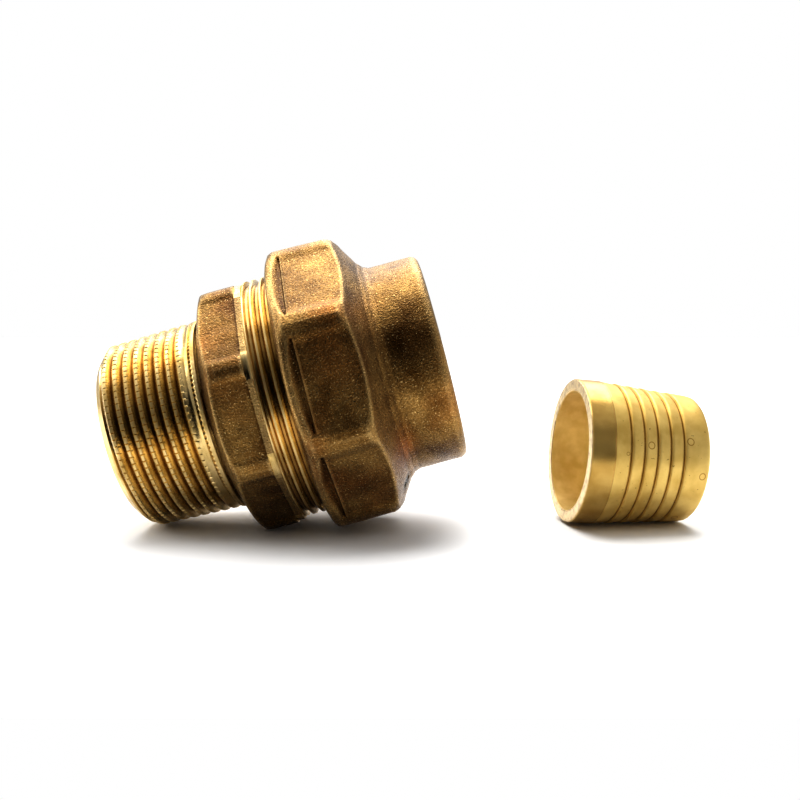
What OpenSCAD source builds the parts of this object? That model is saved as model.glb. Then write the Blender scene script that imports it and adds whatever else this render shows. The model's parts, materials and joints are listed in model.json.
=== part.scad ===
// Compression union for polyethylene pipe: threaded body, clamp nut and loose ribbed liner sleeve.
// Every part is built along +Z from its own datum face, then laid on the bench at z = 0.

/* [Pipe thread end] */

// major diameter of the tapered pipe thread at its small end
pipe_thread_d = 41.2; // [40.8:0.1:41.6]
// crest to crest distance of the pipe thread
pipe_thread_pitch = 2.309; // [2.2:0.001:2.4]
// number of full crests that carry grip marks
pipe_thread_crests = 7; // [4:1:7]
// diameter of the water way through the body
flow_bore_d = 28; // [22:0.5:32]

/* [Body] */

// distance across the flats of the eight sided grip
body_flats = 53; // [52:0.1:53.4]
// length of the eight sided grip
body_grip_l = 11.2; // [9:0.1:12]
// turn of the grip flats about the axis, degrees
body_grip_turn = 3.5; // [-20:0.5:20]
// major diameter of the nut thread
nut_thread_d = 53.7; // [53.3:0.05:53.8]
// crest to crest distance of the nut thread
nut_thread_pitch = 2.117; // [2.0:0.001:2.2]
// length of the threaded spigot that the nut runs on
spigot_l = 17.5; // [15:0.5:19]

/* [Nut] */

// distance across the flats of the eight sided nut
nut_flats = 60.8; // [60:0.1:62]
// diameter of the rounded corners of the nut
nut_corner_d = 64.8; // [63.5:0.1:65]
// turn of the nut flats about the axis, degrees
nut_turn = -4; // [-20:0.5:20]
// depth of the sunk panel on each nut flat
panel_depth = 0.6; // [0.2:0.05:0.8]
// outside diameter of the plain neck
neck_d = 46.2; // [45:0.1:48]
// outside diameter of the pipe that the neck takes
pipe_d = 38; // [36:0.1:38.6]

/* [Liner sleeve] */

// outside diameter of the plain band
sleeve_d = 32.2; // [31.5:0.1:33]
// inside diameter of the sleeve
sleeve_bore_d = 26.8; // [24:0.2:27]
// overall length of the sleeve
sleeve_l = 27; // [26:0.5:30]
// distance between neighbouring ribs
rib_pitch = 3.03; // [2.8:0.01:3.1]
// depth of each rib notch
rib_depth = 0.55; // [0.3:0.05:0.7]

/* [Placement] */

// angle between the sleeve axis and the union axis seen from above, degrees
sleeve_yaw = 7; // [0:0.5:12]
// distance along the bench from the middle of the nut end to the sleeve
sleeve_gap = 28.6; // [20:0.1:40]

/* [Hidden] */

$fn = 96;
sides = 8;
cut = 1;

// pipe thread end, measured from its end face
taper = 1 / 32;
crest_r = pipe_thread_d / 2;
face_r = 18.2;
lead_in = 1.2;
lead_in_drop = 0.45;
pipe_thread_depth = 1.3;
first_crest = 3;
crest_flat = 0.5;
root_flat = 0.3;

// shallow last turn of the pipe thread, between the full crests and the collar
runout_start = first_crest + (pipe_thread_crests - 0.5) * pipe_thread_pitch;
runout_groove = 0.5;
runout_rise = 0.1;
runout_groove_l = 1.4;
runout_rise_l = 2.0;
runout_l = 2.6;

collar_start = 21.2;
collar_l = 1.5;
collar_r = 21.4;
collar_edge = 0.5;
collar_edge_l = 0.2;
gap_l = 0.6;
gap_r = 20.4;

// eight sided grip
grip_start = collar_start + collar_l + gap_l;
grip_end = grip_start + body_grip_l;
grip_corner_r = 28.5;
grip_chamfer = 4;
corner_land_l = 1.4;
corner_land_r = 27.6;

// spigot and nut thread
nut_thread_r = nut_thread_d / 2;
nut_thread_depth = 1.1;
relief_l = 1.2;
spigot_end = grip_end + spigot_l;
first_nut_crest = grip_end + relief_l + 0.7;
nut_crest_flat = 0.45;
nut_root_flat = 0.45;
spigot_lead_l = 1.5;
nut_crests = floor((spigot_end - first_nut_crest - spigot_lead_l) / nut_thread_pitch) + 1;
shoulder_l = 0.3;
shoulder_slope_l = 0.3;

// pipe socket inside the body
socket_d = pipe_d + 0.6;
socket_l = 12;
socket_start = spigot_end - socket_l;
socket_mouth = 1.6;

// nut, measured from the body end face
nut_start = grip_end + 5.9;
nut_grip_l = 14.8;
nut_edge_l = 2.2;
nut_face_slope_l = 0.8;
nut_face_drop = 2.2;
nut_edge_mid_l = 1.5;
nut_edge_mid_drop = 0.8;
nut_end = 72.3;
nut_face_r = nut_thread_r + 0.5;
nut_corner_r = nut_corner_d / 2;
panel_start = nut_start + 3.9;
panel_w = 20.6;
neck_r = neck_d / 2;
neck_edge = 1.4;
neck_round = 0.4;
nut_grip_end = nut_start + nut_grip_l;
grip_round = 1;
grip_round_l = 0.2;
shoulder_foot = 3.1;
fillet_rise = 1.1;
fillet_start_l = 4.5;
fillet_end_l = 6.5;
panel_reach = 5;
thread_gap = 0.12;
nut_crest_r = nut_thread_r - nut_thread_depth + 0.3;
mouth = 1;
nut_relief_r = nut_thread_r + 0.3;
nut_relief_l = 2.5;
neck_mouth = 0.8;
nut_thread_end = spigot_end + 0.8;
cone_l = 4.5;
neck_bore_r = (pipe_d + 0.5) / 2;

// rest pose on the bench: the first crest and the corner of the nut touch it
flat_half = acos(nut_flats / nut_corner_d);
crest_low_x = first_crest - crest_flat / 2;
crest_low_r = crest_r + crest_low_x * taper;
nut_low_x = nut_start + nut_edge_l;
nut_low_r = nut_corner_r * cos(flat_half - abs(nut_turn));
rest_tilt = atan((nut_low_r - crest_low_r) / (nut_low_x - crest_low_x));
union_lift = crest_low_r * cos(rest_tilt) - crest_low_x * sin(rest_tilt);

// sleeve
sleeve_r = sleeve_d / 2;
band_l = 5.3;
first_rib = 8.85;
ribs = 5;
rib_half = 0.35;
rib_step = 0.25;
nose_start = sleeve_l - 1.6;
nose_r = sleeve_r - 1.75;
nose_tip_r = nose_r - 0.6;
nose_round = 0.2;
nose_round_l = 0.5;
band_edge = 0.25;
sleeve_tilt = atan((sleeve_r - nose_r) / (nose_start - band_l));
sleeve_lift = sleeve_r * cos(sleeve_tilt) + band_l * sin(sleeve_tilt);

// shift that puts the middle of the whole set over the origin
centre_x = 61.346;
sleeve_x = nut_end * cos(rest_tilt) + sleeve_gap - centre_x;

brass_cast = [0.62, 0.45, 0.20];
brass_forged = [0.66, 0.48, 0.22];
brass_turned = [0.86, 0.72, 0.36];

// ---- helpers ----

// solid of revolution from a list of [radius, height] points
module turned(points) {
    rotate_extrude()
        polygon(points);
}

// eight sided prism with one flat facing the given turn
module octagon(flats, from, to, turn) {
    translate([0, 0, from])
        rotate([0, 0, turn + 180 / sides])
            cylinder(r = flats / 2 / cos(180 / sides), h = to - from, $fn = sides);
}

// places a part with its axis raised by the rest tilt of the union
module laid_union() {
    translate([-centre_x, 0, union_lift])
        rotate([0, 90 - rest_tilt, 0])
            children();
}

// places the sleeve beside the union, nose down
module laid_sleeve() {
    translate([sleeve_x, 0, sleeve_lift])
        rotate([0, 0, sleeve_yaw])
            rotate([0, 90 + sleeve_tilt, 0])
                children();
}

// ---- threads ----

// radius of the pipe thread cone at a height
function pipe_r(z) = crest_r + z * taper;

// outline of one pipe thread crest, root to root
function pipe_crest(z) = [
    [pipe_r(z) - pipe_thread_depth, z - (pipe_thread_pitch - root_flat) / 2],
    [pipe_r(z), z - crest_flat / 2],
    [pipe_r(z), z + crest_flat / 2],
    [pipe_r(z) - pipe_thread_depth, z + (pipe_thread_pitch - root_flat) / 2]
];

// outline of one nut thread crest; grow adds clearance for the matching inside thread
function nut_crest(z, grow) = [
    [nut_thread_r - nut_thread_depth + grow, z - nut_thread_pitch / 2 + nut_root_flat / 2 - grow / 2],
    [nut_thread_r + grow, z - nut_crest_flat / 2 - grow / 2],
    [nut_thread_r + grow, z + nut_crest_flat / 2 + grow / 2],
    [nut_thread_r - nut_thread_depth + grow, z + nut_thread_pitch / 2 - nut_root_flat / 2 + grow / 2]
];

function pipe_crest_z(i) = first_crest + i * pipe_thread_pitch;
function nut_crest_z(i) = first_nut_crest + i * nut_thread_pitch;

// ---- union body ----

function pipe_end_profile() = [
    [0, 0],
    [face_r, 0],
    [pipe_r(lead_in) - lead_in_drop, lead_in],
    each [for (i = [0 : pipe_thread_crests - 1]) each pipe_crest(pipe_crest_z(i))],
    [pipe_r(runout_start) - runout_groove, runout_start + runout_groove_l],
    [pipe_r(runout_start) - runout_rise, runout_start + runout_rise_l],
    [pipe_r(runout_start) - runout_rise, runout_start + runout_l],
    [collar_r - collar_edge, collar_start],
    [collar_r, collar_start + collar_edge_l],
    [collar_r, collar_start + collar_l],
    [gap_r, collar_start + collar_l],
    [gap_r, grip_start],
    [collar_r, grip_start],
    [grip_corner_r, grip_start + grip_chamfer],
    [grip_corner_r, grip_end - corner_land_l],
    [corner_land_r, grip_end - corner_land_l],
    [corner_land_r, grip_end],
    [0, grip_end]
];

function spigot_profile() = [
    [0, grip_end - cut],
    [nut_thread_r, grip_end - cut],
    [nut_thread_r, grip_end + shoulder_l],
    [nut_thread_r - nut_thread_depth, grip_end + shoulder_l + shoulder_slope_l],
    each [for (i = [0 : nut_crests - 1]) each nut_crest(nut_crest_z(i), 0)],
    [nut_thread_r - nut_thread_depth, spigot_end],
    [0, spigot_end]
];

// water way, then the wider socket that the pipe end sits in
function body_inside_profile() = [
    [0, -cut],
    [flow_bore_d / 2, -cut],
    [flow_bore_d / 2, socket_start],
    [socket_d / 2, socket_start],
    [socket_d / 2, spigot_end - socket_mouth],
    [socket_d / 2 + socket_mouth + cut, spigot_end + cut],
    [0, spigot_end + cut]
];

module pipe_end_and_grip() {
    intersection() {
        octagon(body_flats, -cut, grip_end, body_grip_turn);
        turned(pipe_end_profile());
    }
}

module union_body() {
    color(brass_cast)
        laid_union()
            difference() {
                union() {
                    pipe_end_and_grip();
                    turned(spigot_profile());
                }
                turned(body_inside_profile());
            }
}

// ---- clamp nut ----

function nut_profile() = [
    [0, nut_start],
    [nut_face_r, nut_start],
    [nut_corner_r - nut_face_drop, nut_start + nut_face_slope_l],
    [nut_corner_r - nut_edge_mid_drop, nut_start + nut_edge_mid_l],
    [nut_corner_r, nut_low_x],
    [nut_corner_r, nut_grip_end - grip_round],
    [nut_corner_r - grip_round, nut_grip_end + grip_round_l],
    [neck_r + shoulder_foot, nut_grip_end + shoulder_foot],
    [neck_r + fillet_rise, nut_grip_end + fillet_start_l],
    [neck_r, nut_grip_end + fillet_end_l],
    [neck_r, nut_end - neck_edge],
    [neck_r - neck_round, nut_end - neck_round],
    [neck_r - neck_edge, nut_end],
    [0, nut_end]
];

module nut_outside() {
    intersection() {
        octagon(nut_flats, nut_start, nut_end, nut_turn);
        turned(nut_profile());
    }
}

module nut_panels() {
    for (i = [0 : sides - 1])
        rotate([0, 0, nut_turn + i * 360 / sides])
            translate([nut_flats / 2 - panel_depth, -panel_w / 2, panel_start])
                cube([panel_reach, panel_w, nut_grip_l]);
}

// plain way through the nut: thread bore, relief, squeeze cone and pipe bore
function nut_inside_profile() = [
    [0, nut_start - cut],
    [nut_crest_r + mouth + cut, nut_start - cut],
    [nut_crest_r, nut_start + mouth],
    [nut_crest_r, nut_thread_end],
    [nut_relief_r, nut_thread_end],
    [nut_relief_r, nut_thread_end + nut_relief_l],
    [neck_bore_r, nut_thread_end + nut_relief_l + cone_l],
    [neck_bore_r, nut_end - neck_mouth],
    [neck_bore_r + neck_mouth + cut, nut_end + cut],
    [0, nut_end + cut]
];

// grooves of the inside thread, the shape of the spigot with clearance
function nut_groove_profile() = [
    [0, nut_crest_z(0)],
    each [for (i = [0 : nut_crests - 1]) each nut_crest(nut_crest_z(i), thread_gap)],
    [0, nut_crest_z(nut_crests - 1) + nut_thread_pitch / 2]
];

module clamp_nut() {
    color(brass_forged)
        laid_union()
            difference() {
                nut_outside();
                nut_panels();
                turned(nut_inside_profile());
                turned(nut_groove_profile());
            }
}

// ---- liner sleeve ----

// radius of the cone that the ribs and the nose touch
function cone_r(z) = sleeve_r - (z - band_l) * tan(sleeve_tilt);
function rib_z(i) = first_rib + i * rib_pitch;

function sleeve_profile() = [
    [sleeve_bore_d / 2, 0],
    [sleeve_r - band_edge, 0],
    [sleeve_r, band_edge],
    [sleeve_r, band_l],
    each [for (i = [0 : ribs - 1]) each [
        [cone_r(rib_z(i) - rib_half) - rib_step, rib_z(i) - rib_half],
        [cone_r(rib_z(i)) - rib_depth, rib_z(i)],
        [cone_r(rib_z(i) + rib_half), rib_z(i) + rib_half]
    ]],
    [nose_r, nose_start],
    [nose_r - nose_round, sleeve_l - nose_round_l],
    [nose_tip_r, sleeve_l],
    [sleeve_bore_d / 2, sleeve_l]
];

module liner_sleeve() {
    color(brass_turned)
        laid_sleeve()
            turned(sleeve_profile());
}

union_body();
clamp_nut();
liner_sleeve();
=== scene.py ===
"""Looks of the pipe union: a threaded body, a clamp nut and a loose ribbed liner sleeve, all brass."""

import json
import math

import bpy
import bmesh
import numpy as np
from mathutils import Matrix, Vector, noise


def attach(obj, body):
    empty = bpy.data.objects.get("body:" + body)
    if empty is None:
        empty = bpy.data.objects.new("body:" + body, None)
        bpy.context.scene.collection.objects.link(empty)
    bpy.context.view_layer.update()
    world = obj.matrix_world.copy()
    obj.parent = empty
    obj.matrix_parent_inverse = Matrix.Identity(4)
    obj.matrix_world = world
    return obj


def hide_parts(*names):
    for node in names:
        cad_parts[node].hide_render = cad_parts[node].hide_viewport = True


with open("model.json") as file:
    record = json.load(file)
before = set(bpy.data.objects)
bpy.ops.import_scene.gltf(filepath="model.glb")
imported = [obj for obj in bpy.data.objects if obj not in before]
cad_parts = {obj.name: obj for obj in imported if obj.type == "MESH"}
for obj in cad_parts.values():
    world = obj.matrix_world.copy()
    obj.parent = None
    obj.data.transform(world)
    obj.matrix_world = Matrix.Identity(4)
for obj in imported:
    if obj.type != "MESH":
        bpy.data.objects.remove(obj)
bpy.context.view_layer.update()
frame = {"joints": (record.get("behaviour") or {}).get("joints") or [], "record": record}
MM = 0.001
TURN = 2 * math.pi
WHITE = (1, 1, 1)
BLACK = (0, 0, 0)

# ---- sizes, in millimetres from the body's end face along the union's axis ----

COLUMNS = 720
SIDES = 8

PIPE_PITCH = 2.309
PIPE_CREST_R = 20.59
PIPE_TAPER = 1 / 32
PIPE_DEPTH = 1.3
PIPE_FIRST = 1.21          # where the helix starts above the top of the piece
PIPE_FULL_END = 19.2       # grip marks end here and the thread runs out
PIPE_THREAD_START = 0.25
PIPE_THREAD_END = 20.9
GRIP_MARKS = 90            # marks in one turn of the crest
GRIP_MARK_DEPTH = 0.3
CHAMFER_FACE_R = 18.1
CHAMFER_L = 2.4
WATER_R = 14.0

COLLAR_START = 21.2
COLLAR_END = 22.4
COLLAR_R = 21.35
COLLAR_MARKS = 120         # short cuts on the left border of the collar
COLLAR_MARK_DEPTH = 0.3
GAP_R = 19.4
GRIP_START = 23.3
CONE_START = 22.8          # the cone begins in the gap behind the collar
GRIP_END = 34.5
GRIP_FLATS = 53.0
GRIP_TURN = 3.5
GRIP_CORNER_R = 28.4
GRIP_LAND_START = 33.1
GRIP_LAND_R = 27.55
GRIP_LAND_ANGLE = 16.0     # the lands are turned further than this from a flat's middle
GRIP_ROUND = 0.7           # rounding between a flat and the outline
GRIP_PANEL_DEPTH = 0.35
GRIP_PANEL_HALF = 8.8

SPIGOT_END = 52.0
SPIGOT_R = 26.8
SPIGOT_DEPTH = 1.1
SPIGOT_FIRST = 36.4
SPIGOT_PITCH = 2.117
SOCKET_START = 40.0
SOCKET_R = 19.3

NUT_START = 40.4
NUT_END = 72.3
NUT_FLATS = 60.8
NUT_DRAFT = 0.03           # the cast flats lean in towards the neck, mm a mm
NUT_CORNER_R = 32.25
NUT_ROUND = 0.9
NUT_TURN = -4.0
NUT_GRIP_END = 55.2
NUT_PANEL_START = 44.3
NUT_PANEL_W = 20.6
NUT_PANEL_DEPTH = 0.45
CRESCENT_BOW = 1.9
CRESCENT_DEPTH = 0.75
PIT_X = 57.9               # casting flaw in the lower shoulder
PIT_ALPHA = 156.0
PIT_REACH = 1.4
PIT_DEPTH = 1.3
NUT_BORE_R = 26.3
NUT_RELIEF_R = 27.15
NUT_THREAD_END = 52.8
NUT_RELIEF_END = 55.3
NUT_CONE_END = 59.8
NECK_R = 23.05
NECK_BORE_R = 19.25

SLEEVE_R = 16.05
SLEEVE_BORE_R = 13.4
SLEEVE_L = 27.0
SLEEVE_BAND_L = 5.3
SLEEVE_TAPER = 1.75 / 20.1
RIB_FIRST = 8.85
RIB_PITCH = 3.03
RIBS = 5
RIB_DEPTH = 0.55

# the longest stretch between two rows of each outline
GRIP_STEP = 0.28
NUT_STEP = 0.42
SLEEVE_STEP = 0.5
SPIGOT_STEP = 1.2
BORE_STEP = 1.5
GRIP_BORE_STEP = 2.0

# ---- places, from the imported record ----


def mount(name):
    """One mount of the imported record."""
    return next(m for m in frame["record"]["mounts"] if m["name"] == name)


def placed(origin, along):
    """Matrix that takes local +X to the given direction, with local Y level."""
    x = Vector(along).normalized()
    y = Vector((0, 0, 1)).cross(x).normalized()
    z = x.cross(y)
    matrix = Matrix((x, y, z)).transposed().to_4x4()
    matrix.translation = origin
    return matrix


nut_joint = next(j for j in frame["joints"] if j["name"] == "nut_turn")
union_axis = Vector(nut_joint["axis"]).normalized()
HINGE_X = 47.8             # the record's hinge point, from the body's end face
union_place = placed(Vector(nut_joint["pos_m"]) - union_axis * HINGE_X * MM, union_axis)
sleeve_axis = Vector(mount("sleeve_bore")["axis"]).normalized()
sleeve_middle = Vector(mount("sleeve_bore")["pos_m"])
sleeve_place = placed(sleeve_middle - sleeve_axis * SLEEVE_L / 2 * MM, sleeve_axis)

# ---- mesh helpers ----

ALPHA = np.arange(COLUMNS) * TURN / COLUMNS


def smooth(low, high, value):
    """0 below low, 1 above high, and an even ramp between."""
    t = np.clip((value - low) / (high - low), 0, 1)
    return t * t * (3 - 2 * t)


def soft_min(a, b, width):
    """The smaller of a and b, with the edge between them rounded over the given width."""
    h = np.clip(0.5 + 0.5 * (b - a) / width, 0, 1)
    return b + (a - b) * h - width * h * (1 - h)


def dense(points, step):
    """The same outline of [X, R] points with no stretch longer than step."""
    made = []
    for start, end in zip(points, points[1:]):
        start, end = np.array(start, float), np.array(end, float)
        parts = max(1, int(math.ceil(np.linalg.norm(end - start) / step)))
        made += [start + (end - start) * i / parts for i in range(parts)]
    return made + [np.array(points[-1], float)]


def from_flat(alpha, turn):
    """Angle from the nearest flat's middle."""
    side = TURN / SIDES
    return (alpha - math.radians(turn) + side / 2) % side - side / 2


def waviness(x, alpha, radius, scale, seed):
    """Slow unevenness of a cast surface, from 0 to 1."""
    made = np.empty(len(alpha))
    for i, a in enumerate(alpha):
        place = Vector((x, radius * math.cos(a), radius * math.sin(a))) * scale
        made[i] = 0.5 + 0.5 * noise.noise(place + Vector((seed, 0, 0)))
    return made


def ring_mesh(name, rings, place, materials, pick=None, wound=None):
    """Closed ring shaped mesh from rings of (X, R) arrays.

    pick(X, alpha, R) chooses each face's material. wound is (first, last, rows a turn)
    of the rows that climb like a screw, and join the next turn at the seam.
    """
    count = len(rings)
    x = np.array([np.broadcast_to(r[0], COLUMNS) for r in rings], float)
    r = np.array([np.broadcast_to(r[1], COLUMNS) for r in rings], float)
    co = np.stack([x, -r * np.sin(ALPHA), r * np.cos(ALPHA)], axis=-1).reshape(-1, 3) * MM
    i = np.arange(count)[:, None]
    j = np.arange(COLUMNS)[None, :]
    i2, j2 = (i + 1) % count, (j + 1) % COLUMNS
    far, far2 = i + 0 * j, i2 + 0 * j
    if wound is not None:
        first, last, rows = wound
        for step in (far, far2):
            at_seam = (j2 == 0) & (step >= first) & (step <= last)
            step[at_seam] = np.minimum(step[at_seam] + rows, last)
    corners = [i * COLUMNS + j, i2 * COLUMNS + j, far2 * COLUMNS + j2, far * COLUMNS + j2]
    quads = np.stack([c + 0 * j for c in corners], axis=-1).reshape(-1, 4)
    mesh = bpy.data.meshes.new(name)
    mesh.from_pydata(co.tolist(), [], quads.tolist())
    for material in materials:
        mesh.materials.append(material)
    if pick is not None:
        slots = pick(x, np.broadcast_to(ALPHA, x.shape), r).astype(np.int32).ravel()
        mesh.polygons.foreach_set("material_index", slots)
    return finished(name, mesh, place)


def finished(name, mesh, place):
    """Welds a mesh, turns its faces outward, smooths it and puts it in place."""
    made = bmesh.new()
    made.from_mesh(mesh)
    bmesh.ops.remove_doubles(made, verts=made.verts, dist=2e-6)
    bmesh.ops.dissolve_degenerate(made, edges=made.edges, dist=1e-7)
    bmesh.ops.recalc_face_normals(made, faces=made.faces)
    made.to_mesh(mesh)
    made.free()
    count = len(mesh.vertices)
    co = np.empty(count * 3, np.float32)
    mesh.vertices.foreach_get("co", co)
    mesh.attributes.new("local", "FLOAT_VECTOR", "POINT").data.foreach_set("vector", co)
    mesh.attributes.new("edge", "FLOAT", "POINT").data.foreach_set("value", curvature_for_wear_and_shade(mesh))
    mesh.transform(place)
    mesh.shade_smooth()
    mesh.set_sharp_from_angle(angle=math.radians(32))
    piece = bpy.data.objects.new(name, mesh)
    bpy.context.scene.collection.objects.link(piece)
    return piece


# curvature at each vertex, used for the wear on edges and the painted shade in hollows
def curvature_for_wear_and_shade(mesh, rounds=4, gain=2.2):
    """0 in hollows, 0.5 on even skin and 1 on edges, at each vertex."""
    count = len(mesh.vertices)
    co = np.empty(count * 3)
    mesh.vertices.foreach_get("co", co)
    co = co.reshape(-1, 3)
    normals = np.array([v.vector for v in mesh.vertex_normals])
    ends = np.empty(len(mesh.edges) * 2, np.int64)
    mesh.edges.foreach_get("vertices", ends)
    a, b = ends.reshape(-1, 2).T
    step = co[a] - co[b]
    step /= np.maximum(np.linalg.norm(step, axis=1), 1e-9)[:, None]
    rise = np.bincount(a, (normals[a] * step).sum(1), count)
    rise -= np.bincount(b, (normals[b] * step).sum(1), count)
    valence = np.maximum(np.bincount(a, minlength=count) + np.bincount(b, minlength=count), 1)
    rise /= valence
    for _ in range(rounds):
        near = np.bincount(a, rise[b], count) + np.bincount(b, rise[a], count)
        rise = 0.5 * rise + 0.5 * near / valence
    return np.clip(0.5 + gain * rise, 0, 1).astype(np.float32)


# ---- materials ----


def new_material(name, roughness):
    """A metal material with its tree, its shader node and the local coordinates stored in the mesh."""
    material = bpy.data.materials.new(name)
    material.use_nodes = True
    tree = material.node_tree
    shader = tree.nodes["Principled BSDF"]
    shader.inputs["Metallic"].default_value = 1.0
    shader.inputs["Roughness"].default_value = roughness
    return material, tree, shader, attribute(tree, "local").outputs["Vector"]


def attribute(tree, name):
    """Node that reads a value stored in the mesh."""
    made = tree.nodes.new("ShaderNodeAttribute")
    made.attribute_name = name
    return made


def grey(value):
    """A colour with the same value in each channel."""
    return (value,) * 3


def noise_of(tree, coords, scale, detail=4.0, stretch=(1, 1, 1)):
    """Noise with a scale in features per metre, stretched per axis."""
    mapping = tree.nodes.new("ShaderNodeMapping")
    mapping.inputs["Scale"].default_value = stretch
    tree.links.new(coords, mapping.inputs["Vector"])
    made = tree.nodes.new("ShaderNodeTexNoise")
    made.inputs["Scale"].default_value = scale
    made.inputs["Detail"].default_value = detail
    tree.links.new(mapping.outputs["Vector"], made.inputs["Vector"])
    return made.outputs["Fac"]


def ramp_of(tree, factor, stops):
    """Colour ramp over (position, colour) stops."""
    made = tree.nodes.new("ShaderNodeValToRGB")
    elements = made.color_ramp.elements
    for i, (position, colour) in enumerate(stops):
        element = elements[i] if i < 2 else elements.new(position)
        element.position = position
        element.color = (*colour, 1)
    tree.links.new(factor, made.inputs["Fac"])
    return made.outputs["Color"]


def mixed(tree, kind, factor, a, b):
    """Colour mix of two sockets; factor is a number or a socket."""
    made = tree.nodes.new("ShaderNodeMix")
    made.data_type = "RGBA"
    made.blend_type = kind
    if isinstance(factor, (int, float)):
        made.inputs["Factor"].default_value = factor
    else:
        tree.links.new(factor, made.inputs["Factor"])
    first, second, result = made.inputs[6], made.inputs[7], made.outputs[2]  # the colour sockets
    tree.links.new(a, first)
    tree.links.new(b, second)
    return result


def bumped(tree, shader, heights):
    """Stacks bumps of (height socket, distance in metres, strength) on the shader."""
    normal = None
    for height, distance, strength in heights:
        bump = tree.nodes.new("ShaderNodeBump")
        bump.inputs["Distance"].default_value = distance
        bump.inputs["Strength"].default_value = strength
        tree.links.new(height, bump.inputs["Height"])
        if normal is not None:
            tree.links.new(normal, bump.inputs["Normal"])
        normal = bump.outputs["Normal"]
    tree.links.new(normal, shader.inputs["Normal"])


SPOT_CORE = 0.25           # share of its reach in which a spot is at its full strength


def spot(tree, coords, x, alpha, radius, reach, stretch=(1, 1, 1)):
    """1 at a point of the skin, fading to 0 at the given reach in millimetres."""
    angle = math.radians(alpha)
    centre = Vector((x, -radius * math.sin(angle), radius * math.cos(angle))) * MM
    shift = tree.nodes.new("ShaderNodeVectorMath")
    shift.operation = "SUBTRACT"
    shift.inputs[1].default_value = centre
    tree.links.new(coords, shift.inputs[0])
    scaled = tree.nodes.new("ShaderNodeVectorMath")
    scaled.operation = "MULTIPLY"
    scaled.inputs[1].default_value = stretch
    tree.links.new(shift.outputs[0], scaled.inputs[0])
    length = tree.nodes.new("ShaderNodeVectorMath")
    length.operation = "LENGTH"
    tree.links.new(scaled.outputs[0], length.inputs[0])
    fade = tree.nodes.new("ShaderNodeMapRange")
    fade.inputs["From Min"].default_value = reach * MM
    fade.inputs["From Max"].default_value = reach * MM * SPOT_CORE
    tree.links.new(length.outputs["Value"], fade.inputs["Value"])
    return fade.outputs["Result"]


def cast_brass(name, dark, light, stain, spots=()):
    """As cast skin: sandy grain, uneven brown gold colour, reddish stains, bright facets and painted
    shade in the hollows.

    spots are (x, alpha, radius, reach, stretch, colour) of stains and painted shade in known places.
    """
    material, tree, shader, coords = new_material(name, 0.34)
    grain = noise_of(tree, coords, 2500, 3)
    fine = noise_of(tree, coords, 5200, 2)
    blotch = noise_of(tree, coords, 130, 5)
    patch = noise_of(tree, coords, 55, 3)
    base = ramp_of(tree, blotch, [(0.30, dark), (0.68, light)])
    speck = ramp_of(tree, grain, [(0.36, (0.42, 0.36, 0.28)), (0.60, WHITE)])
    base = mixed(tree, "MULTIPLY", 0.65, base, speck)
    tint = ramp_of(tree, patch, [(0.50, WHITE), (0.72, stain)])
    base = mixed(tree, "MULTIPLY", 0.8, base, tint)
    # the spots hold stains and also painted shade and a painted dark reflection
    for x, alpha, radius, reach, stretch, colour in spots:
        place = spot(tree, coords, x, alpha, radius, reach, stretch)
        mark = ramp_of(tree, place, [(0.0, WHITE), (1.0, colour)])
        base = mixed(tree, "MULTIPLY", 1.0, base, mark)
    edge = attribute(tree, "edge").outputs["Fac"]
    # painted shade: the base colour darkens in the hollows
    painted_hollow_shade = ramp_of(tree, edge, [(0.30, (0.34, 0.26, 0.18)), (0.49, WHITE)])
    base = mixed(tree, "MULTIPLY", 1.0, base, painted_hollow_shade)
    worn = ramp_of(tree, edge, [(0.53, BLACK), (0.70, (0.22, 0.17, 0.08))])
    base = mixed(tree, "ADD", 1.0, base, worn)
    sparkle = noise_of(tree, coords, 3300, 1)
    facets = ramp_of(tree, sparkle, [(0.66, BLACK), (0.74, (0.45, 0.34, 0.16))])
    base = mixed(tree, "ADD", 1.0, base, facets)
    tree.links.new(base, shader.inputs["Base Color"])
    rough = ramp_of(tree, grain, [(0.30, grey(0.42)), (0.70, grey(0.20))])
    tree.links.new(rough, shader.inputs["Roughness"])
    bumped(tree, shader, [(grain, 0.00018, 0.9), (fine, 0.00010, 0.9)])
    return material


def turned_brass(name, dark, light, roughness, line_strength):
    """Machined skin: yellow brass with turning lines round the axis, painted shade in the hollows and
    dull crests.
    """
    material, tree, shader, coords = new_material(name, roughness)
    lines = noise_of(tree, coords, 1, 3, (5200, 60, 60))
    tarnish = noise_of(tree, coords, 210, 5)
    speck = noise_of(tree, coords, 1500, 2)
    base = ramp_of(tree, tarnish, [(0.32, dark), (0.62, light)])
    dots = ramp_of(tree, speck, [(0.24, (0.35, 0.25, 0.15)), (0.30, WHITE)])
    base = mixed(tree, "MULTIPLY", 0.8, base, dots)
    edge = attribute(tree, "edge").outputs["Fac"]
    # painted shade: the base colour darkens in the thread roots and other hollows
    painted_hollow_shade = ramp_of(tree, edge, [(0.20, (0.42, 0.30, 0.15)), (0.42, WHITE)])
    base = mixed(tree, "MULTIPLY", 1.0, base, painted_hollow_shade)
    tree.links.new(base, shader.inputs["Base Color"])
    rough = ramp_of(tree, tarnish, [(0.3, grey(roughness * 1.5)), (0.7, grey(roughness * 0.8))])
    crest = ramp_of(tree, edge, [(0.55, BLACK), (0.75, grey(0.2))])
    rough = mixed(tree, "ADD", 1.0, rough, crest)
    tree.links.new(rough, shader.inputs["Roughness"])
    bumped(tree, shader, [(lines, 0.00003, line_strength)])
    return material


def ranged(tree, value, low, high):
    """0 at low and 1 at high, for a value socket."""
    made = tree.nodes.new("ShaderNodeMapRange")
    made.inputs["From Min"].default_value = low
    made.inputs["From Max"].default_value = high
    tree.links.new(value, made.inputs["Value"])
    return made.outputs["Result"]


SATIN_METALLIC = 0.75

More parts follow.
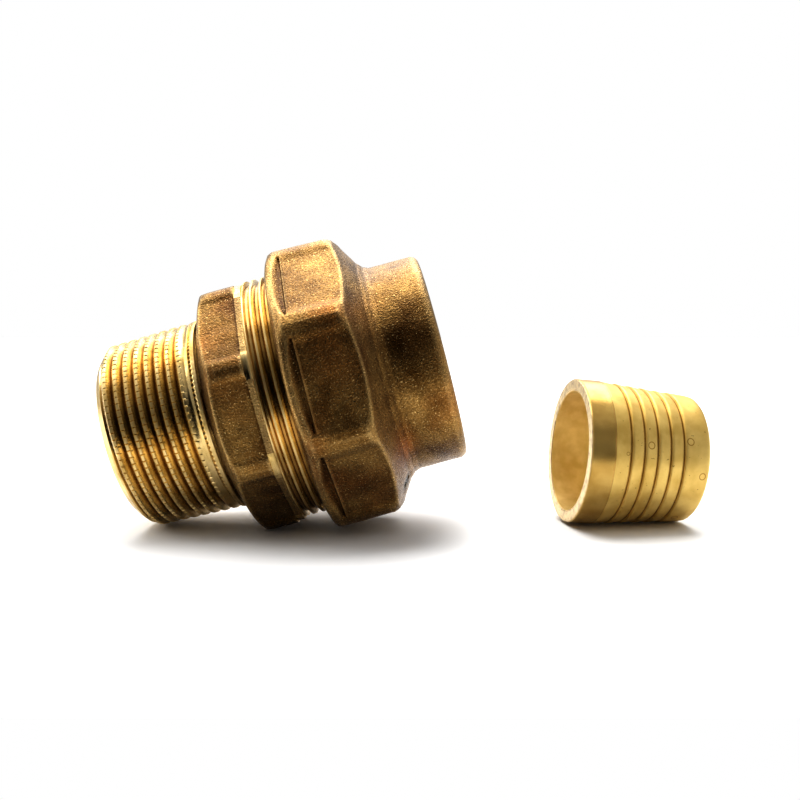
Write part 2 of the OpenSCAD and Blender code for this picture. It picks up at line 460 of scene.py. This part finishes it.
DROP_REACH = 2             # the fade that a ring is cut from, in ring sizes
DROP_LEVEL = 2 / 3         # the ring lies where the fade has this value
DROP_HALF = 0.14           # the ring's half width, in the same value
DROP_FULL = 0.042          # and the half width of its full strength


def drop_ring(tree, coords, x, alpha, radius, size):
    """1 on a thin ring round a point of the skin, where a drop has dried."""
    fade = spot(tree, coords, x, alpha, radius, DROP_REACH * size)
    offset = tree.nodes.new("ShaderNodeMath")
    offset.operation = "SUBTRACT"
    offset.inputs[1].default_value = DROP_LEVEL
    tree.links.new(fade, offset.inputs[0])
    distance = tree.nodes.new("ShaderNodeMath")
    distance.operation = "ABSOLUTE"
    tree.links.new(offset.outputs[0], distance.inputs[0])
    return ranged(tree, distance.outputs[0], DROP_HALF, DROP_FULL)


def stained_brass(name, dark, light, roughness, line_strength, drops):
    """Satin turned brass with a smoother band, dried drops and a dull, uneven end face.

    drops are (x, alpha, radius, size) of the rings that drops left.
    """
    material = turned_brass(name, dark, light, roughness, line_strength)
    tree = material.node_tree
    shader = tree.nodes["Principled BSDF"]
    shader.inputs["Metallic"].default_value = SATIN_METALLIC
    coords = attribute(tree, "local").outputs["Vector"]
    base = shader.inputs["Base Color"].links[0].from_socket
    for x, alpha, radius, size in drops:
        ring = drop_ring(tree, coords, x, alpha, radius, size)
        mark = ramp_of(tree, ring, [(0.0, WHITE), (1.0, (0.5, 0.33, 0.15))])
        base = mixed(tree, "MULTIPLY", 0.9, base, mark)
    split = tree.nodes.new("ShaderNodeSeparateXYZ")
    tree.links.new(coords, split.inputs[0])
    band = ranged(tree, split.outputs["X"], (SLEEVE_BAND_L + 0.1) * MM, SLEEVE_BAND_L * MM)
    across = tree.nodes.new("ShaderNodeVectorMath")
    across.operation = "MULTIPLY"
    across.inputs[1].default_value = (0, 1, 1)
    tree.links.new(coords, across.inputs[0])
    length = tree.nodes.new("ShaderNodeVectorMath")
    length.operation = "LENGTH"
    tree.links.new(across.outputs[0], length.inputs[0])
    bore_edge = SLEEVE_BORE_R + 0.3
    outside = ranged(tree, length.outputs["Value"], bore_edge * MM, (bore_edge + 0.2) * MM)
    both = tree.nodes.new("ShaderNodeMath")
    both.operation = "MULTIPLY"
    tree.links.new(band, both.inputs[0])
    tree.links.new(outside, both.inputs[1])
    band = both.outputs[0]
    cloud = noise_of(tree, coords, 300, 4)
    bore = ramp_of(tree, cloud, [(0.35, (0.74, 0.56, 0.22)), (0.65, (0.90, 0.72, 0.34))])
    base = mixed(tree, "MIX", outside, bore, base)
    smoother = ramp_of(tree, band, [(0.0, grey(0.46)), (1.0, grey(0.27))])
    tree.links.new(smoother, shader.inputs["Roughness"])
    dimmer = ramp_of(tree, band, [(0.0, WHITE), (1.0, (0.74, 0.68, 0.60))])
    base = mixed(tree, "MULTIPLY", 1.0, base, dimmer)
    face = ranged(tree, split.outputs["X"], 0.2 * MM, 0.1 * MM)
    scuffs = noise_of(tree, coords, 700, 4)
    dull = ramp_of(tree, scuffs, [(0.35, (0.46, 0.32, 0.15)), (0.55, (0.76, 0.57, 0.29))])
    tree.links.new(mixed(tree, "MIX", face, base, dull), shader.inputs["Base Color"])
    return material


# x, angle and radius of each dried drop on the sleeve, and the size of its ring
DROPS = (
    (13.2, 76, 15.4, 0.75),
    (22.2, 70, 14.6, 0.75),
    (25.4, 99, 14.2, 0.70),
    (23.0, 149, 14.5, 0.70),
    (20.4, 148, 14.7, 0.40),
    (8.0, 84, 15.8, 0.40),
)

# known marks on the nut: the shoulder's stain, painted shade in the casting flaw and a painted dark
# reflection along the neck's front
NUT_STAINS_AND_PAINTED_SHADE = (
    (59.6, 131, 24.3, 5.5, (1.3, 0.7, 0.7), (0.92, 0.60, 0.42)),
    # painted shade: near black in the casting flaw's pit
    (57.9, 156, 26.0, 3.0, (1.1, 0.8, 1), (0.02, 0.015, 0.01)),
    # painted dark reflection: darkens the front of the neck, where it reflects the dark front wall
    (66.0, 76, 23.0, 7.5, (0.7, 1, 1), (0.45, 0.36, 0.30)),
)

TURNED_ROUGHNESS = 0.20
LINE_STRENGTH = 0.45

CAST_BODY = cast_brass(
    "cast_body_brass",
    dark=(0.10, 0.046, 0.010),
    light=(0.32, 0.188, 0.056),
    stain=(0.80, 0.50, 0.30),
)
CAST_NUT = cast_brass(
    "cast_nut_brass",
    dark=(0.11, 0.050, 0.010),
    light=(0.38, 0.226, 0.070),
    stain=(0.86, 0.50, 0.28),
    spots=NUT_STAINS_AND_PAINTED_SHADE,
)
TURNED = turned_brass(
    "turned_thread_brass",
    dark=(0.50, 0.345, 0.115),
    light=(0.80, 0.60, 0.28),
    roughness=TURNED_ROUGHNESS,
    line_strength=LINE_STRENGTH,
)
SLEEVE = stained_brass(
    "turned_sleeve_brass",
    dark=(0.59, 0.39, 0.097),
    light=(0.76, 0.55, 0.18),
    roughness=TURNED_ROUGHNESS,
    line_strength=LINE_STRENGTH,
    drops=DROPS,
)

# ---- threaded end of the body ----

# share of the pitch at each row of the thread: root, flank, crest, flank, root
THREAD_ROWS = [0.0, 0.10, 0.25, 0.36, 0.39, 0.5, 0.61, 0.64, 0.75, 0.90]
ROOT_HALF = 0.02           # half the root's share of the pitch
FLANK_END = 0.38           # where the flank meets the crest, from the root's middle
RUNOUT_DEPTH = 0.22        # share of the depth that is left where the thread has run out
MARK_SINK = (0.78, 0.86)   # shares of one grip mark's step over which it sinks
MARK_RISE = (0.90, 0.99)   # and comes back up


def thread_height(share):
    """0 in the root and 1 on the crest, by the share of the pitch."""
    flank = (0.5 - np.abs(share - 0.5) - ROOT_HALF) / (FLANK_END - ROOT_HALF)
    return np.clip(flank, 0, 1)


def grip_mark(wind):
    """Small cuts across the crest, by the angle wound along the helix."""
    phase = (wind * GRIP_MARKS / TURN) % 1
    return smooth(*MARK_SINK, phase) * (1 - smooth(*MARK_RISE, phase))


def thread_ring(turn, share):
    """One row of the right hand pipe thread, that climbs a pitch in one turn."""
    x = PIPE_FIRST + (turn + share + ALPHA / TURN) * PIPE_PITCH
    x = np.clip(x, PIPE_THREAD_START, PIPE_THREAD_END)
    real = (x - PIPE_FIRST) / PIPE_PITCH - ALPHA / TURN
    share_here = real % 1
    height = thread_height(share_here)
    full = 1 - smooth(PIPE_FULL_END - 1.6, PIPE_FULL_END + 1.4, x)
    crest = PIPE_CREST_R + PIPE_TAPER * np.minimum(x, PIPE_FULL_END)
    depth = PIPE_DEPTH * (RUNOUT_DEPTH + (1 - RUNOUT_DEPTH) * full)
    wind = np.floor(real) * TURN + ALPHA
    marks = GRIP_MARK_DEPTH * grip_mark(wind) * smooth(0.85, 1.0, height) * full
    radius = crest - depth * (1 - height) - marks
    bevel = CHAMFER_FACE_R + (PIPE_CREST_R - CHAMFER_FACE_R) * x / CHAMFER_L
    bevel = np.where(x < CHAMFER_L, bevel, np.inf)
    return x, np.minimum(radius, bevel)


def thread_end():
    """Pipe thread, collar and the bore behind them."""
    rings = [(0.0, CHAMFER_FACE_R - 0.1)]
    turns = int((PIPE_THREAD_END - PIPE_FIRST) / PIPE_PITCH) + 1
    for turn in range(-2, turns):
        rings += [thread_ring(turn, share) for share in THREAD_ROWS]
    wound = (1, len(rings) - 1, len(THREAD_ROWS))
    notch = COLLAR_MARK_DEPTH * (0.5 + 0.5 * np.cos(ALPHA * COLLAR_MARKS))
    rings += [
        (COLLAR_START - 0.1, 20.9),
        (COLLAR_START, COLLAR_R - 0.25 - notch),
        (COLLAR_START + 0.25, COLLAR_R - 0.05 - notch * 0.4),
        (COLLAR_START + 0.5, COLLAR_R),
        (COLLAR_END - 0.12, COLLAR_R),
        (COLLAR_END, COLLAR_R - 0.12),
        (COLLAR_END + 0.02, GAP_R),
        (GRIP_START, GAP_R),
    ]
    rings += dense([(GRIP_START, WATER_R), (0.5, WATER_R)], BORE_STEP)
    rings += [(0.12, WATER_R + 0.12), (0.0, WATER_R + 0.5)]
    return ring_mesh("thread_end", rings, union_place, [TURNED], wound=wound)


# ---- cast grip of the body ----

# depth in millimetres, scale and seed of each cast skin's unevenness
GRIP_WAVES = (0.25, 0.3, 3.0)
NUT_WAVES = (0.2, 0.18, 9.0)
PIT_WAVES = (PIT_DEPTH, 1.1, 5.0)


def uneven(x, profile_r, waves):
    """Depth that a cast skin lies under its even shape, round one row."""
    depth, scale, seed = waves
    return depth * waviness(x, ALPHA, profile_r, scale, seed)


def octagon_r(flats, turn, alpha):
    """Radius of the eight sided outline at each angle."""
    return flats / 2 / np.cos(from_flat(alpha, turn))


def grip_ring(x, profile_r):
    """One row of the cast grip, with rounded corners, sunk flats and turned lands on its corners."""
    delta = from_flat(ALPHA, GRIP_TURN)
    flats = octagon_r(GRIP_FLATS, GRIP_TURN, ALPHA)
    across = np.abs(flats * np.sin(delta))
    inside = 1 - smooth(GRIP_PANEL_HALF - 1.2, GRIP_PANEL_HALF + 0.8, across)
    lengthways = smooth(CONE_START + 2.2, CONE_START + 3.8, x)
    sunk = GRIP_PANEL_DEPTH * inside * lengthways
    radius = soft_min(np.full(COLUMNS, float(profile_r)), flats - sunk, GRIP_ROUND)
    if x > GRIP_LAND_START:
        return x, np.minimum(radius, GRIP_LAND_R)
    return x, radius - uneven(x, profile_r, GRIP_WAVES)


def grip_outline():
    """The grip's [X, R] outline before its flats are cut."""
    return [
        (CONE_START, GAP_R),
        (CONE_START, 21.2),
        (CONE_START + 0.25, 21.6),
        (CONE_START + 1.5, 24.9),
        (CONE_START + 2.0, 26.2),
        (CONE_START + 2.5, 27.2),
        (CONE_START + 3.2, 27.9),
        (CONE_START + 4.6, GRIP_CORNER_R - 0.1),
        (GRIP_LAND_START, GRIP_CORNER_R),
    ]


def body_grip():
    """Eight sided grip between the thread and the spigot."""
    rings = [grip_ring(x, r) for x, r in dense(grip_outline(), GRIP_STEP)]
    land_rows = np.linspace(GRIP_LAND_START + 0.02, GRIP_END - 0.2, 4)
    rings += [grip_ring(x, GRIP_LAND_R) for x in land_rows]
    x, radius = grip_ring(GRIP_END - 0.02, GRIP_LAND_R)
    rings += [(GRIP_END, radius - 0.15)]
    rings += [(GRIP_END, 26.0), (GRIP_END, WATER_R + 3)]
    rings += dense([(GRIP_END, WATER_R), (CONE_START, WATER_R)], GRIP_BORE_STEP)

    def pick(x, alpha, r):
        delta = np.abs(from_flat(alpha, GRIP_TURN))
        land = (x >= GRIP_LAND_START) & (delta > math.radians(GRIP_LAND_ANGLE))
        return (land | (x >= GRIP_END - 0.01) | (r < WATER_R + 1)).astype(int)

    return ring_mesh("body_grip", rings, union_place, [CAST_BODY, TURNED], pick)


# ---- spigot that the nut runs on ----


def spigot_outline():
    """The spigot's [X, R] outline: thread rings, end face and the socket that the pipe end sits in."""
    root = SPIGOT_R - SPIGOT_DEPTH
    points = [(GRIP_END, SPIGOT_R), (GRIP_END + 0.3, SPIGOT_R), (GRIP_END + 0.6, root)]
    crest = SPIGOT_FIRST
    while crest < SPIGOT_END - 1.4:
        points += [
            (crest - 0.83, root),
            (crest - 0.28, SPIGOT_R - 0.1),
            (crest - 0.18, SPIGOT_R),
            (crest + 0.18, SPIGOT_R),
            (crest + 0.28, SPIGOT_R - 0.1),
            (crest + 0.83, root),
        ]
        crest += SPIGOT_PITCH
    return points + [
        (SPIGOT_END - 0.6, root),
        (SPIGOT_END, root - 0.6),
        (SPIGOT_END, SOCKET_R + 1.6),
        (SPIGOT_END - 1.6, SOCKET_R),
        (SOCKET_START, SOCKET_R),
        (SOCKET_START, WATER_R),
        (GRIP_END, WATER_R),
    ]


def nut_spigot():
    """Spigot with the fine thread for the nut."""
    return ring_mesh("nut_spigot", dense(spigot_outline(), SPIGOT_STEP), union_place, [TURNED])


# ---- clamp nut ----


def nut_outline():
    """The nut's outer [X, R] outline before its flats are cut."""
    return [
        (NUT_START, 27.5),
        (NUT_START, 29.6),
        (NUT_START + 0.35, 30.5),
        (NUT_START + 1.0, 31.5),
        (NUT_START + 2.2, NUT_CORNER_R),
        (NUT_GRIP_END - 1.2, NUT_CORNER_R),
        (NUT_GRIP_END + 0.1, 31.2),
        (NUT_GRIP_END + 1.6, 28.2),
        (NUT_GRIP_END + 3.1, NECK_R + 2.8),
        (NUT_GRIP_END + 3.8, NECK_R + 1.65),
        (NUT_GRIP_END + 4.4, NECK_R + 1.15),
        (NUT_GRIP_END + 5.0, NECK_R + 0.5),
        (NUT_GRIP_END + 6.3, NECK_R),
        (NUT_END - 1.5, NECK_R),
        (NUT_END - 0.9, NECK_R - 0.2),
        (NUT_END - 0.4, NECK_R - 0.6),
        (NUT_END - 0.1, NECK_R - 1.1),
        (NUT_END, NECK_R - 1.6),
    ]


def nut_inside_outline():
    """Pipe bore, squeeze cone, relief, plain thread bore and mouth, from the neck end back."""
    return [
        (NUT_END, NECK_BORE_R + 0.8),
        (NUT_END - 0.8, NECK_BORE_R),
        (NUT_CONE_END, NECK_BORE_R),
        (NUT_RELIEF_END, NUT_RELIEF_R),
        (NUT_THREAD_END, NUT_RELIEF_R),
        (NUT_THREAD_END, NUT_BORE_R),
        (NUT_START + 1.0, NUT_BORE_R),
        (NUT_START, 27.3),
    ]


def nut_ring(x, profile_r):
    """One outer row of the cast nut, with a sunk panel and a crescent on each flat."""
    delta = from_flat(ALPHA, NUT_TURN)
    flats = octagon_r(NUT_FLATS, NUT_TURN, ALPHA) - NUT_DRAFT * max(0.0, x - NUT_START - 2)
    across = np.abs(flats * np.sin(delta))
    half = NUT_PANEL_W / 2
    inside = 1 - smooth(half - 2.4, half + 0.6, across)
    bow = CRESCENT_BOW * np.clip(1 - (across / half) ** 2, 0, 1)
    lip = NUT_PANEL_START - 0.25
    sunk = NUT_PANEL_DEPTH * inside * smooth(NUT_PANEL_START - 0.1, NUT_PANEL_START + 0.3, x)
    groove = smooth(lip - bow - 0.5, lip - bow * 0.5, x) * (1 - smooth(lip - 0.2, lip, x))
    sunk += CRESCENT_DEPTH * groove * smooth(0.05, 0.3, bow)
    radius = soft_min(np.full(COLUMNS, float(profile_r)), flats - sunk, NUT_ROUND)
    if abs(x - PIT_X) < 3 * PIT_REACH:
        around = profile_r * (ALPHA - math.radians(PIT_ALPHA))
        hole = np.exp(-((x - PIT_X) ** 2 + (0.7 * around) ** 2) / PIT_REACH ** 2)
        radius = radius - hole * uneven(x, profile_r, PIT_WAVES)
    return x, radius - uneven(x, profile_r, NUT_WAVES)


def clamp_nut():
    """Eight sided cast nut with a plain neck."""
    outer = dense(nut_outline(), NUT_STEP)
    rings = [nut_ring(x, r) for x, r in outer]
    rings += dense(nut_inside_outline(), BORE_STEP)

    def pick(x, alpha, r):
        made = np.zeros(x.shape, int)
        made[len(outer):] = 1
        return made

    return ring_mesh("clamp_nut_body", rings, union_place, [CAST_NUT, TURNED], pick)


# ---- liner sleeve ----


def sleeve_r(x):
    """Radius of the sleeve's tapered part."""
    return SLEEVE_R - max(0.0, x - SLEEVE_BAND_L) * SLEEVE_TAPER


def sleeve_outline():
    """The sleeve's [X, R] outline: plain band, ribs with a steep left side and a rounded nose."""
    points = [
        (0.0, SLEEVE_BORE_R + 0.15),
        (0.0, SLEEVE_R - 0.3),
        (0.3, SLEEVE_R),
        (SLEEVE_BAND_L, SLEEVE_R),
    ]
    for i in range(RIBS):
        x = RIB_FIRST + i * RIB_PITCH
        points += [
            (x - 0.45, sleeve_r(x - 0.45) - 0.22),
            (x - 0.12, sleeve_r(x) - RIB_DEPTH + 0.05),
            (x, sleeve_r(x) - RIB_DEPTH),
            (x + 0.3, sleeve_r(x + 0.35) - 0.06),
            (x + 0.45, sleeve_r(x + 0.45)),
        ]
    return points + [
        (SLEEVE_L - 1.6, sleeve_r(SLEEVE_L - 1.6)),
        (SLEEVE_L - 0.6, SLEEVE_R - 1.95),
        (SLEEVE_L, SLEEVE_R - 2.45),
        (SLEEVE_L, SLEEVE_BORE_R + 0.1),
        (SLEEVE_L - 0.1, SLEEVE_BORE_R),
        (0.15, SLEEVE_BORE_R),
    ]


def liner_sleeve():
    """Turned sleeve, lying loose."""
    rings = dense(sleeve_outline(), SLEEVE_STEP)
    return ring_mesh("liner_sleeve_ring", rings, sleeve_place, [SLEEVE])


# ---- studio ----

FLOOR_REACH = 20.0
FLOOR_FRONT = 0.11         # the floor ends this far in front and the white world goes on
FLOOR_Z = -0.00005         # a hair under the pieces that stand on it
CAMERA_PLACE = (-0.0007, -0.2128, 0.0419)
CAMERA_TILT = 86.2
CAMERA_LENS = 42.9
VIEW_GAMMA = 0.82          # the photo's contrast
SKY_POWER = 2.5
SKY_ANGLE = 60
SKY_TILT = -34
DARK_WALL = -0.80          # Y of the direction up to which the front wall is dark
BRIGHT_WALL = -0.15        # and past which the room is bright


def camera():
    """Low camera in front, pitched down a little."""
    made = bpy.data.cameras.new("camera")
    made.sensor_width = 36
    made.lens = CAMERA_LENS
    seen = bpy.data.objects.new("camera", made)
    bpy.context.scene.collection.objects.link(seen)
    seen.location = CAMERA_PLACE
    seen.rotation_euler = (math.radians(CAMERA_TILT), 0, 0)
    bpy.context.scene.camera = seen


def floor():
    """Plain pale floor."""
    mesh = bpy.data.meshes.new("floor")
    corners = [
        (-FLOOR_REACH, -FLOOR_FRONT),
        (FLOOR_REACH, -FLOOR_FRONT),
        (FLOOR_REACH, FLOOR_REACH),
        (-FLOOR_REACH, FLOOR_REACH),
    ]
    mesh.from_pydata([(x, y, FLOOR_Z) for x, y in corners], [], [(0, 1, 2, 3)])
    made = bpy.data.objects.new("floor", mesh)
    bpy.context.scene.collection.objects.link(made)
    material, tree, shader, _ = new_material("floor_white", 0.6)
    coords = tree.nodes.new("ShaderNodeTexCoord").outputs["Object"]
    shader.inputs["Metallic"].default_value = 0.0
    shade = ramp_of(tree, noise_of(tree, coords, 30, 2), [(0.3, grey(0.86)), (0.7, grey(0.88))])
    tree.links.new(shade, shader.inputs["Base Color"])
    made.data.materials.append(material)


def soft_light(name, place, aim, size, power):
    """Rectangular soft light that faces a point."""
    made = bpy.data.lights.new(name, "AREA")
    made.shape = "RECTANGLE"
    made.size, made.size_y = size
    made.energy = power
    lamp = bpy.data.objects.new(name, made)
    bpy.context.scene.collection.objects.link(lamp)
    lamp.location = place
    lamp.rotation_euler = (Vector(aim) - Vector(place)).to_track_quat("-Z", "Y").to_euler()


def studio():
    """View transform, lights and world."""
    view = bpy.context.scene.view_settings
    view.view_transform = "Standard"
    view.gamma = VIEW_GAMMA
    soft_light("overhead", place=(-0.1, 0.28, 1.0), aim=(0, 0, 0), size=(1.3, 0.7), power=10)
    soft_light("left_side", place=(-0.8, 0.1, 0.5), aim=(-0.03, 0, 0.03), size=(0.4, 0.6), power=3)
    soft_light(
        "right_front", place=(0.68, -0.70, 0.22), aim=(0.02, 0, 0.03), size=(0.2, 0.5), power=0.5)
    sky = bpy.data.lights.new("sky", "SUN")
    sky.energy = SKY_POWER
    sky.angle = math.radians(SKY_ANGLE)
    high = bpy.data.objects.new("sky", sky)
    bpy.context.scene.collection.objects.link(high)
    high.rotation_euler = (math.radians(SKY_TILT), 0, 0)
    white_room()


def white_room():
    """World that is white to the camera and, in reflections, a bright room with a dark front wall."""
    world = bpy.data.worlds.new("studio")
    bpy.context.scene.world = world
    world.use_nodes = True
    tree = world.node_tree
    way = tree.nodes.new("ShaderNodeTexCoord").outputs["Generated"]
    split = tree.nodes.new("ShaderNodeSeparateXYZ")
    tree.links.new(way, split.inputs[0])
    front = ramp_of(tree, split.outputs["Z"], [(0.55, (0.006, 0.005, 0.004)), (0.92, grey(0.8))])
    rear = ramp_of(tree, split.outputs["Z"], [(0.0, grey(0.75)), (1.0, grey(0.9))])
    behind = ranged(tree, split.outputs["Y"], DARK_WALL, BRIGHT_WALL)
    room = mixed(tree, "MIX", behind, front, rear)
    back = tree.nodes["Background"]
    back.inputs["Strength"].default_value = 1.0
    seen = tree.nodes.new("ShaderNodeLightPath").outputs["Is Camera Ray"]
    plain = tree.nodes.new("ShaderNodeRGB").outputs[0]
    plain.default_value = (*WHITE, 1)
    tree.links.new(mixed(tree, "MIX", seen, room, plain), back.inputs["Color"])


camera()
floor()
studio()

end = thread_end()
grip = body_grip()
spigot = nut_spigot()
nut = clamp_nut()
sleeve = liner_sleeve()

for piece, body, node, slot in (
    (end, "body", "union_body", "cast_body_brass"),
    (grip, "body", "union_body", "cast_body_brass"),
    (spigot, "body", "union_body", "cast_body_brass"),
    (nut, "nut", "clamp_nut", "cast_nut_brass"),
    (sleeve, "sleeve", "liner_sleeve", "turned_sleeve_brass"),
):
    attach(piece, body)
    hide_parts(node)
